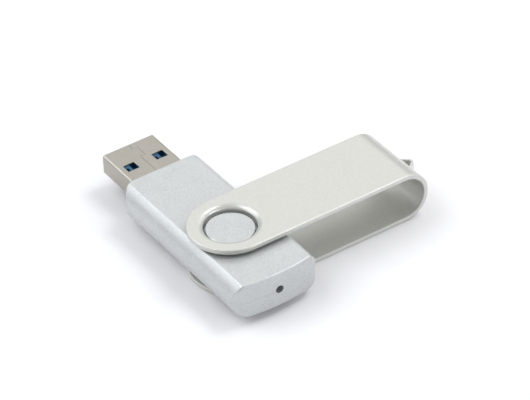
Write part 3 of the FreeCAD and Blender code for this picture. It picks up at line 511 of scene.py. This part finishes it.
def cover_face(bm, rim, radius, lift):
    """One face of the folded sheet inside its rim, with a round hole in each plate."""
    leg = 2 * (PLATE_STEPS + 1) + BEND_STEPS - 1
    end = END_STEPS - 1
    right, low_end = rim[:leg], rim[leg:leg + end]
    left, top_end = rim[leg + end:2 * leg + end][::-1], rim[2 * leg + end:]
    rows = []
    for a, b in zip(right[PLATE_STEPS:-PLATE_STEPS], left[PLATE_STEPS:-PLATE_STEPS]):
        inside = [bm.verts.new(a.co.lerp(b.co, i / ROW_STEPS)) for i in range(1, ROW_STEPS)]
        rows.append([a, *inside, b])
    loft(bm, rows, closed=False)
    plate = PLATE_STEPS + 1
    top = right[:plate] + rows[0][1:-1] + left[:plate][::-1] + top_end
    low = right[-plate:][::-1] + rows[-1][1:-1] + left[-plate:] + low_end[::-1]
    for outline, sign in ((top, 1), (low, -1)):
        hole = ring(bm, circle(radius, MID_HEIGHT + sign * (BEND_RADIUS + lift)))
        fill(bm, outline, hole)


def make_cover():
    """The folded sheet with its rounded rim, drawn collars, strap slot and strap."""
    stations = cover_stations()
    bm = bmesh.new()
    rims = []
    for reach, lift in rim_profile():
        rims.append(ring(bm, [spot + out * reach + face * lift for spot, out, face in stations]))
    loft(bm, rims)
    cover_face(bm, rims[0], MOUTH, GAUGE / 2)
    cover_face(bm, rims[-1], COLLAR, -GAUGE / 2)
    for sign in (1, -1):
        loft(bm, [ring(bm, circle(radius, MID_HEIGHT + sign * (BEND_RADIUS + lift)))
                  for radius, lift in collar_profile()])
    cover = solid("cover_sheet", bm)
    slot = box("slot_tool", (-SLOT_HALF, SLOT_TOOL[0], MID_HEIGHT - STRAP_HEIGHT / 2),
               (SLOT_HALF, SLOT_TOOL[1], MID_HEIGHT + STRAP_HEIGHT / 2))
    combine(cover, [slot])
    combine(cover, [make_strap()], "UNION")
    settle(cover, "cover", "cover_metal", "swivel_cover", 28)


def make_strap():
    """The lanyard strap, a pointed band of flat section round the slot."""
    tip_steps, leg_steps = 28, 4
    start, stop = 90 - STRAP_SLOPE, 90 + STRAP_SLOPE
    tip = arc_points((0, STRAP_CENTRE), STRAP_MIDDLE, start, stop, tip_steps)
    headings = [start + (stop - start) * i / tip_steps for i in range(tip_steps + 1)]
    lean = math.radians(STRAP_SLOPE)
    down = Vector((math.cos(lean), -math.sin(lean)))
    path = []
    for step in range(leg_steps):
        foot = Vector(tip[0]) + down * STRAP_LEG * (1 - step / leg_steps)
        path.append((foot.x, foot.y, start))
    path += [(x, y, heading) for (x, y), heading in zip(tip, headings)]
    path += [(-x, y, 180 - heading) for x, y, heading in path[leg_steps - 1::-1]]
    half = STRAP_HEIGHT / 2
    section = soft_rectangle(-STRAP_GAUGE / 2, STRAP_GAUGE / 2, -half, half, STRAP_EDGE, 3)
    outlines = []
    for x, y, heading in path:
        a = math.radians(heading)
        out = Vector((math.cos(a), math.sin(a), 0))
        outlines.append([Vector((x, y, MID_HEIGHT + rise)) + out * reach
                         for reach, rise in section])
    return prism("strap_tool", outlines)


# ---------------------------------------------------------------- case shells

# Steps of a plan outline: half the front face, a corner, a side and half the tail.
FACE_STEPS, CORNER_STEPS, SIDE_STEPS, TAIL_STEPS = 4, 10, 24, 16
# Steps up a shell: the side's arc, the blend to the flat, and the walls of the inside.
RISE_STEPS, BLEND_STEPS, CAVITY_STEPS = 12, 14, 6


def front_outline(half, inset):
    """Plan outline from the middle of the front face to the side, for y from 0 up.

    half is the half width at this height, and inset draws the face in. The corner's arc
    stops short where the side is narrower, and a small arc round knee joins it there.
    """
    cx, cy = FRONT_CORNER - CASE_FRONT, CASE_HALF - FRONT_CORNER
    radius = FRONT_CORNER - inset
    rise = half - EDGE_SOFT - cy
    if rise > 0:
        limit = math.asin(min(1.0, rise / (radius - EDGE_SOFT)))
        knee = (cx - (radius - EDGE_SOFT) * math.cos(limit), cy + rise)
        start = cy
    else:
        limit = -1.0
        knee = (inset + EDGE_SOFT - CASE_FRONT, half - EDGE_SOFT)
        start = knee[1]
    points = [(inset - CASE_FRONT, start * i / FACE_STEPS) for i in range(FACE_STEPS)]
    for i in range(CORNER_STEPS + 1):
        a = math.pi / 2 * i / CORNER_STEPS
        (x, y), r = ((cx, cy), radius) if a <= limit else (knee, EDGE_SOFT)
        points.append((x - r * math.cos(a), y + r * math.sin(a)))
    return points


def tail_outline(half, inset):
    """The same from the side to the middle of the curved tail.

    meet is the angle at which the tail's curve runs into its corner round (kx, ky).
    """
    tx = CASE_TAIL - TAIL_RADIUS
    ky = CASE_HALF - TAIL_CORNER
    meet = math.asin(ky / (TAIL_RADIUS - TAIL_CORNER))
    kx = tx + (TAIL_RADIUS - TAIL_CORNER) * math.cos(meet)
    big, small = TAIL_RADIUS - inset, TAIL_CORNER - inset
    reach = half - EDGE_SOFT
    on_corner = reach > ky + (small - EDGE_SOFT) * math.sin(meet)
    if on_corner:
        limit = math.asin(min(1.0, (reach - ky) / (small - EDGE_SOFT)))
        knee = (kx + (small - EDGE_SOFT) * math.cos(limit), reach)
        first = meet
    else:
        limit = math.asin(reach / (big - EDGE_SOFT))
        knee = (tx + (big - EDGE_SOFT) * math.cos(limit), reach)
        first = limit
    points = []
    for i in range(CORNER_STEPS + 1):
        a = math.pi / 2 + (first - math.pi / 2) * i / CORNER_STEPS
        (x, y), r = ((kx, ky), small) if on_corner and a <= limit else (knee, EDGE_SOFT)
        points.append((x + r * math.cos(a), y + r * math.sin(a)))
    for i in range(1, TAIL_STEPS + 1):
        a = first * (1 - i / TAIL_STEPS)
        points.append((tx + big * math.cos(a), big * math.sin(a)))
    return points


def cavity_outline(half):
    """Plan outline of the inside, with as many points as the outside."""
    radius = CAVITY_CORNER
    y = half - radius
    front = [(-CAVITY_FRONT, y * i / FACE_STEPS) for i in range(FACE_STEPS)]
    front += arc_points((radius - CAVITY_FRONT, y), radius, 180, 90, CORNER_STEPS)
    tail = arc_points((CAVITY_TAIL - radius, y), radius, 90, 0, CORNER_STEPS)
    tail += [(CAVITY_TAIL, y * (1 - i / TAIL_STEPS)) for i in range(1, TAIL_STEPS + 1)]
    return join_side(front, tail)


def join_side(front, tail):
    """Put the straight side between the two ends of a plan outline."""
    (x0, y0), (x1, y1) = front[-1], tail[0]
    steps = [i / SIDE_STEPS for i in range(1, SIDE_STEPS)]
    return front + [(x0 + (x1 - x0) * t, y0 + (y1 - y0) * t) for t in steps] + tail


def whole(points, z):
    """Both halves of an outline at one height."""
    mirrored = [(x, -y) for x, y in reversed(points[1:-1])]
    return [(x, y, z) for x, y in points + mirrored]


def side_profile(rise, flat_half, blend):
    """Levels up a shell's side from the parting plane to its flat, as (half width,
    height, inset of the end faces).

    The side is an arc of radius side, and an arc of radius blend takes it to the flat.
    """
    run = CASE_HALF - flat_half
    side = (rise ** 2 + run ** 2) / (2 * run)
    lift = rise - blend
    across = math.sqrt((side - blend) ** 2 - lift ** 2)
    switch = math.atan2(lift, across)
    levels = [(CASE_HALF - PARTING_BEVEL, 0.0, PARTING_BEVEL),
              (CASE_HALF - PARTING_BEVEL * 0.25, PARTING_BEVEL * 0.7, PARTING_BEVEL * 0.25)]
    first = math.asin(PARTING_BEVEL * 1.6 / side)
    marks = [first + (switch - first) * i / RISE_STEPS for i in range(RISE_STEPS)]
    marks += [switch + (math.pi / 2 - switch) * i / BLEND_STEPS for i in range(BLEND_STEPS + 1)]
    for a in marks:
        if a < switch:
            radius, y, z = side, CASE_HALF - side, 0
        else:
            radius, y, z = blend, CASE_HALF - side + across, lift
        height = z + radius * math.sin(a)
        depth = max(0.0, height - (rise - END_ROUND))
        inset = END_ROUND - math.sqrt(max(0.0, END_ROUND ** 2 - depth ** 2))
        levels.append((y + radius * math.cos(a), height, inset))
    return levels


def half_at(levels, height):
    """Half width of the outside at a height above the parting plane."""
    for (h0, z0, _), (h1, z1, _) in zip(levels, levels[1:]):
        if z0 <= height <= z1:
            return h0 + (h1 - h0) * (height - z0) / max(1e-9, z1 - z0)
    return levels[-1][0]


def pivot_profile():
    """From the rim of the collar's groove to the top of the boss, as (radius, height
    over the flat)."""
    edge = GROOVE_EDGE
    groove = [(GROOVE, 0.0), (GROOVE, edge - GROOVE_DEPTH), (GROOVE - edge, -GROOVE_DEPTH),
              (BOSS + edge, -GROOVE_DEPTH), (BOSS, edge - GROOVE_DEPTH)]
    return groove + arc_points((BOSS - BOSS_EDGE, BOSS_RISE - BOSS_EDGE), BOSS_EDGE, 0, 90, 6)


def make_shell(name, node, flat, way, flat_half, blend):
    """One half of the case. way is 1 for the top shell and -1 for the bottom."""
    rise = abs(flat - PARTING)
    levels = side_profile(rise, flat_half, blend)
    bm = bmesh.new()
    outside = []
    for half, z, inset in levels:
        outline = join_side(front_outline(half, inset), tail_outline(half, inset))
        outside.append(ring(bm, whole(outline, PARTING + way * z)))
    loft(bm, outside)
    inside = []
    for i in range(CAVITY_STEPS + 1):
        z = (rise - SKIN) * i / CAVITY_STEPS
        outline = cavity_outline(half_at(levels, z) - WALL)
        inside.append(ring(bm, whole(outline, PARTING + way * z)))
    loft(bm, inside)
    strip(bm, outside[0], inside[0])
    fill(bm, inside[-1])
    rings = [ring(bm, circle(radius, flat + way * z)) for radius, z in pivot_profile()]
    loft(bm, rings)
    fill(bm, outside[-1], rings[0])
    fill(bm, rings[-1])
    shell = solid(name, bm)
    opening = prism("mouth_tool", [cross_section(x, PLUG_HALF + PLUG_GAP, PLUG_LOW - PLUG_GAP,
                                                 PLUG_HIGH + PLUG_GAP, PLUG_CORNER + PLUG_GAP)
                                   for x in PLUG_TOOL])
    lamp = prism("lamp_tool", [[(x, y, MID_HEIGHT + z) for y, z, _ in circle(LAMP_HOLE, 0, 40)]
                               for x in LAMP_TOOL])
    combine(shell, [opening, lamp])
    settle(shell, "drive_body", "case_paint", node, 30)


# ---------------------------------------------------------------- plug shell

def make_plug():
    """A folded steel tube with windows, a locked seam and two solder tabs."""
    edge, nick = PLUG_EDGE, PLUG_EDGE * 0.3
    stops = [(-PLUG_TIP, edge), (-PLUG_TIP + nick, nick), (-PLUG_TIP + edge, 0.0),
             (-PLUG_REAR, 0.0), (-PLUG_REAR, PLUG_GAUGE), (-PLUG_TIP + edge, PLUG_GAUGE),
             (-PLUG_TIP, PLUG_GAUGE - edge)]
    bm = bmesh.new()
    rings = []
    for x, inset in stops:
        rings.append(ring(bm, cross_section(x, PLUG_HALF - inset, PLUG_LOW + inset,
                                            PLUG_HIGH - inset, PLUG_CORNER - inset, 8)))
    loft(bm, rings)
    strip(bm, rings[-1], rings[0])
    plug = solid("plug_tube", bm)
    combine(plug, [window_tool(1), window_tool(-1), seam_tool()])
    combine(plug, [tab_tool(1), tab_tool(-1)], "UNION")
    settle(plug, "drive_body", "plug_steel", "plug_shell", 30)


def window_tool(side):
    """Cuts the upper and lower windows of one side, wider at the outer faces."""
    low, high = sorted((side * WINDOW_Y[0], side * WINDOW_Y[1]))
    left, right = WINDOW_X
    lip = WINDOW_LIP
    levels = [(PLUG_LOW - PAST, lip), (PLUG_LOW, lip), (PLUG_LOW + lip, 0.0),
              (PLUG_HIGH - lip, 0.0), (PLUG_HIGH, lip), (PLUG_HIGH + PAST, lip)]
    outlines = []
    for z, grow in levels:
        outline = soft_rectangle(left - grow, right + grow, low - grow, high + grow,
                                 WINDOW_CORNER + grow, 4)
        outlines.append([(x, y, z) for x, y in outline])
    return prism("window_tool", outlines)


def seam_tool():
    """Cuts the seam in the tube's top, with its dovetail and bevelled edges."""
    path = [(-PLUG_TIP - 0.7, 0.0), (SEAM_NECK[0], 0.0), (SEAM_HEAD[0], SEAM_DEPTH),
            (SEAM_HEAD[1], SEAM_DEPTH), (SEAM_NECK[1], 0.0), (-PLUG_REAR + 0.5, 0.0)]
    levels = [(PLUG_HIGH - SEAM_TOOL, SEAM_HALF), (PLUG_HIGH - SEAM_OPEN, SEAM_HALF),
              (PLUG_HIGH + 0.01, SEAM_OPEN), (PLUG_HIGH + SEAM_TOOL, SEAM_OPEN)]
    return prism("seam_tool", [[(x, y, z) for x, y in seam_band(path, half)]
                               for z, half in levels])


def tab_tool(side):
    """A solder tab, as thick as the tube's wall."""
    low, high = sorted((side * (PLUG_HALF - PLUG_GAUGE), side * PLUG_HALF))
    return box("tab_tool", (TAB_X[0], low, TAB_Z[0]), (TAB_X[1], high, TAB_Z[1]))


def seam_band(points, half):
    """A thin closed band along a polyline, mitred at its corners."""
    spots = [Vector(point) for point in points]
    ways = [(after - before).normalized() for before, after in zip(spots, spots[1:])]
    left, right = [], []
    for here, behind, ahead in zip(spots, [ways[0]] + ways, ways + [ways[-1]]):
        mitre = (ahead + behind).normalized()
        across = Vector((-mitre.y, mitre.x))
        reach = half / max(0.35, across.dot(Vector((-ahead.y, ahead.x))))
        left.append(tuple(here + across * reach))
        right.append(tuple(here - across * reach))
    return left + right[::-1]


# ---------------------------------------------------------------- carried-over nodes

def refine(node, slot, bevel):
    """Keep a CAD node, with a procedural finish and edges bevelled where bevel isn't 0."""
    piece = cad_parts[node]
    for holder in piece.material_slots:
        holder.link = "OBJECT"
        holder.material = FINISH[slot]
    if bevel:
        weld = piece.modifiers.new("weld", "WELD")
        weld.merge_threshold = 1e-7
        flatten = piece.modifiers.new("flatten", "DECIMATE")
        flatten.decimate_type = "DISSOLVE"
        flatten.angle_limit = math.radians(0.5)
        edge = piece.modifiers.new("edge", "BEVEL")
        edge.width = bevel * MM
        edge.segments = 2
        edge.limit_method = "ANGLE"
        edge.angle_limit = math.radians(40)
        edge.harden_normals = False
        weight_normals(piece)


# CAD node: its slot, and its bevel in millimetres.
KEPT = {
    "plug_insulator": ("insulator_blue", 0.05),
    "contact_spacer": ("spacer_black", 0.0),
    "power_contact": ("contact_gold", 0.03),
    "data_minus_contact": ("contact_gold", 0.03),
    "data_plus_contact": ("contact_gold", 0.03),
    "ground_contact": ("contact_gold", 0.03),
    "fast_receive_minus_contact": ("contact_gold", 0.02),
    "fast_receive_plus_contact": ("contact_gold", 0.02),
    "fast_ground_contact": ("contact_gold", 0.02),
    "fast_transmit_minus_contact": ("contact_gold", 0.02),
    "fast_transmit_plus_contact": ("contact_gold", 0.02),
    "circuit_board": ("board_green", 0.0),
    "tab_solder_joints": ("solder_tin", 0.0),
    "flash_chip": ("chip_black", 0.0),
    "flash_leads": ("lead_tin", 0.0),
    "controller_chip": ("chip_black", 0.0),
    "controller_terminals": ("lead_tin", 0.0),
    "crystal_base": ("ceramic_grey", 0.0),
    "crystal_lid": ("lid_steel", 0.0),
    "regulator_chip": ("chip_black", 0.0),
    "regulator_leads": ("lead_tin", 0.0),
    "capacitor_bodies": ("capacitor_tan", 0.0),
    "capacitor_terminals": ("lead_tin", 0.0),
    "resistor_bodies": ("resistor_dark", 0.0),
    "resistor_terminals": ("lead_tin", 0.0),
    "status_light_base": ("light_white", 0.0),
    "status_light_lens": ("light_clear", 0.0),
}

make_cover()
make_shell("case_top", "upper_shell", CASE_TOP, 1, FLAT_HALF, TOP_BLEND)
make_shell("case_base", "lower_shell", CASE_BOTTOM, -1, BASE_HALF, BASE_BLEND)
make_plug()
for name, (slot, bevel) in KEPT.items():
    refine(name, slot, bevel)

# ---------------------------------------------------------------- studio

FLOOR_HALF = 3.0        # metres
FLOOR_DROP = 0.00002    # metres below the lowest face
AIM_HEIGHT = 0.005      # metres: the point that the lights face

# The camera that took the photo, fitted to it: angles in degrees, lengths in millimetres.
CAMERA_AZIMUTH, CAMERA_ELEVATION, CAMERA_ROLL = 57.299, 37.644, -2.686
CAMERA_DISTANCE = 585.098
CAMERA_TARGET = Vector((0, 0, 5))
SLIDE_RIGHT, SLIDE_UP = 6.443, 9.156
FOCAL, SENSOR = 207.41, 36


def make_floor():
    """A white sheet of card under the drive."""
    bm = bmesh.new()
    half = FLOOR_HALF
    bm.faces.new(ring(bm, [(-half, -half, 0), (half, -half, 0), (half, half, 0), (-half, half, 0)]))
    mesh = bpy.data.meshes.new("floor")
    bm.to_mesh(mesh)
    bm.free()
    floor = bpy.data.objects.new("floor", mesh)
    bpy.context.scene.collection.objects.link(floor)
    floor.location.z = -FLOOR_DROP
    paint = finish("floor", (0.895, 0.89, 0.915), (0.885, 0.88, 0.905), (0.75, 0.85), 3.0,
                   mottle=60.0, relief=(0.02, 0.01))
    mesh.materials.append(paint.material)


def direction(azimuth, elevation):
    """Unit vector from the drive to a viewer; azimuth 0 is the -Y side."""
    a, e = math.radians(azimuth), math.radians(elevation)
    return Vector((math.sin(a) * math.cos(e), -math.cos(a) * math.cos(e), math.sin(e)))


def softbox(name, azimuth, elevation, distance, size, power, tint):
    """A rectangular light that faces the drive; distance and size are in metres."""
    light = bpy.data.lights.new(name, "AREA")
    light.shape = "RECTANGLE"
    light.size, light.size_y = size
    light.energy = power
    light.color = tint
    holder = bpy.data.objects.new(name, light)
    bpy.context.scene.collection.objects.link(holder)
    holder.location = direction(azimuth, elevation) * distance
    away = (holder.location - Vector((0, 0, AIM_HEIGHT))).normalized()
    holder.rotation_mode = "QUATERNION"
    holder.rotation_quaternion = away.to_track_quat("Z", "Y")


make_floor()
world = bpy.data.worlds.new("studio")
world.use_nodes = True
world.node_tree.nodes["Background"].inputs["Color"].default_value = (0.975, 0.985, 1.0, 1)
world.node_tree.nodes["Background"].inputs["Strength"].default_value = 0.28
bpy.context.scene.world = world
bpy.context.scene.view_settings.view_transform = "Standard"

# Name, degrees round from the camera, elevation, distance, size, power and tint.
SOFTBOXES = [
    ("left_low", -100, 30, 0.7, (0.6, 0.5), 1.20, (0.97, 0.99, 1.0)),
    ("left_high", -100, 55, 0.7, (0.6, 0.5), 1.75, (0.97, 0.99, 1.0)),
    ("left_small", -70, 50, 0.7, (0.25, 0.25), 0.30, (0.97, 0.99, 1.0)),
    ("back", -180, 40, 0.8, (0.8, 0.5), 1.18, (1.0, 1.0, 0.98)),
    ("bend", 123, 25, 0.8, (0.6, 0.3), 0.80, (1.0, 1.0, 0.98)),
    ("right_high", 115, 60, 0.7, (0.25, 0.25), 1.60, (1.0, 1.0, 0.99)),
    ("right_low", 60, 25, 0.8, (0.6, 0.3), 1.75, (0.98, 0.99, 1.0)),
    ("front", 0, 60, 0.8, (0.8, 0.6), 0.55, (0.98, 0.99, 1.0)),
]
for name, turn, elevation, distance, size, power, tint in SOFTBOXES:
    softbox(name, CAMERA_AZIMUTH + turn, elevation, distance, size, power, tint)


def make_camera():
    """The photo's own view; the slides move the camera across its line of sight."""
    turn = math.radians(CAMERA_AZIMUTH)
    roll = math.radians(CAMERA_ROLL)
    back = direction(CAMERA_AZIMUTH, CAMERA_ELEVATION)
    level = Vector((math.cos(turn), math.sin(turn), 0))
    upright = back.cross(level)
    right = level * math.cos(roll) + upright * math.sin(roll)
    up = upright * math.cos(roll) - level * math.sin(roll)
    lens = bpy.data.cameras.new("camera")
    lens.lens = FOCAL
    lens.sensor_width = SENSOR
    lens.clip_start, lens.clip_end = 0.05, 20
    camera = bpy.data.objects.new("camera", lens)
    place = CAMERA_TARGET + back * CAMERA_DISTANCE + right * SLIDE_RIGHT + up * SLIDE_UP
    facing = Matrix((right, up, back)).transposed().to_4x4()
    camera.matrix_world = Matrix.Translation(TO_ROW @ place) @ facing
    bpy.context.scene.collection.objects.link(camera)
    bpy.context.scene.camera = camera


make_camera()
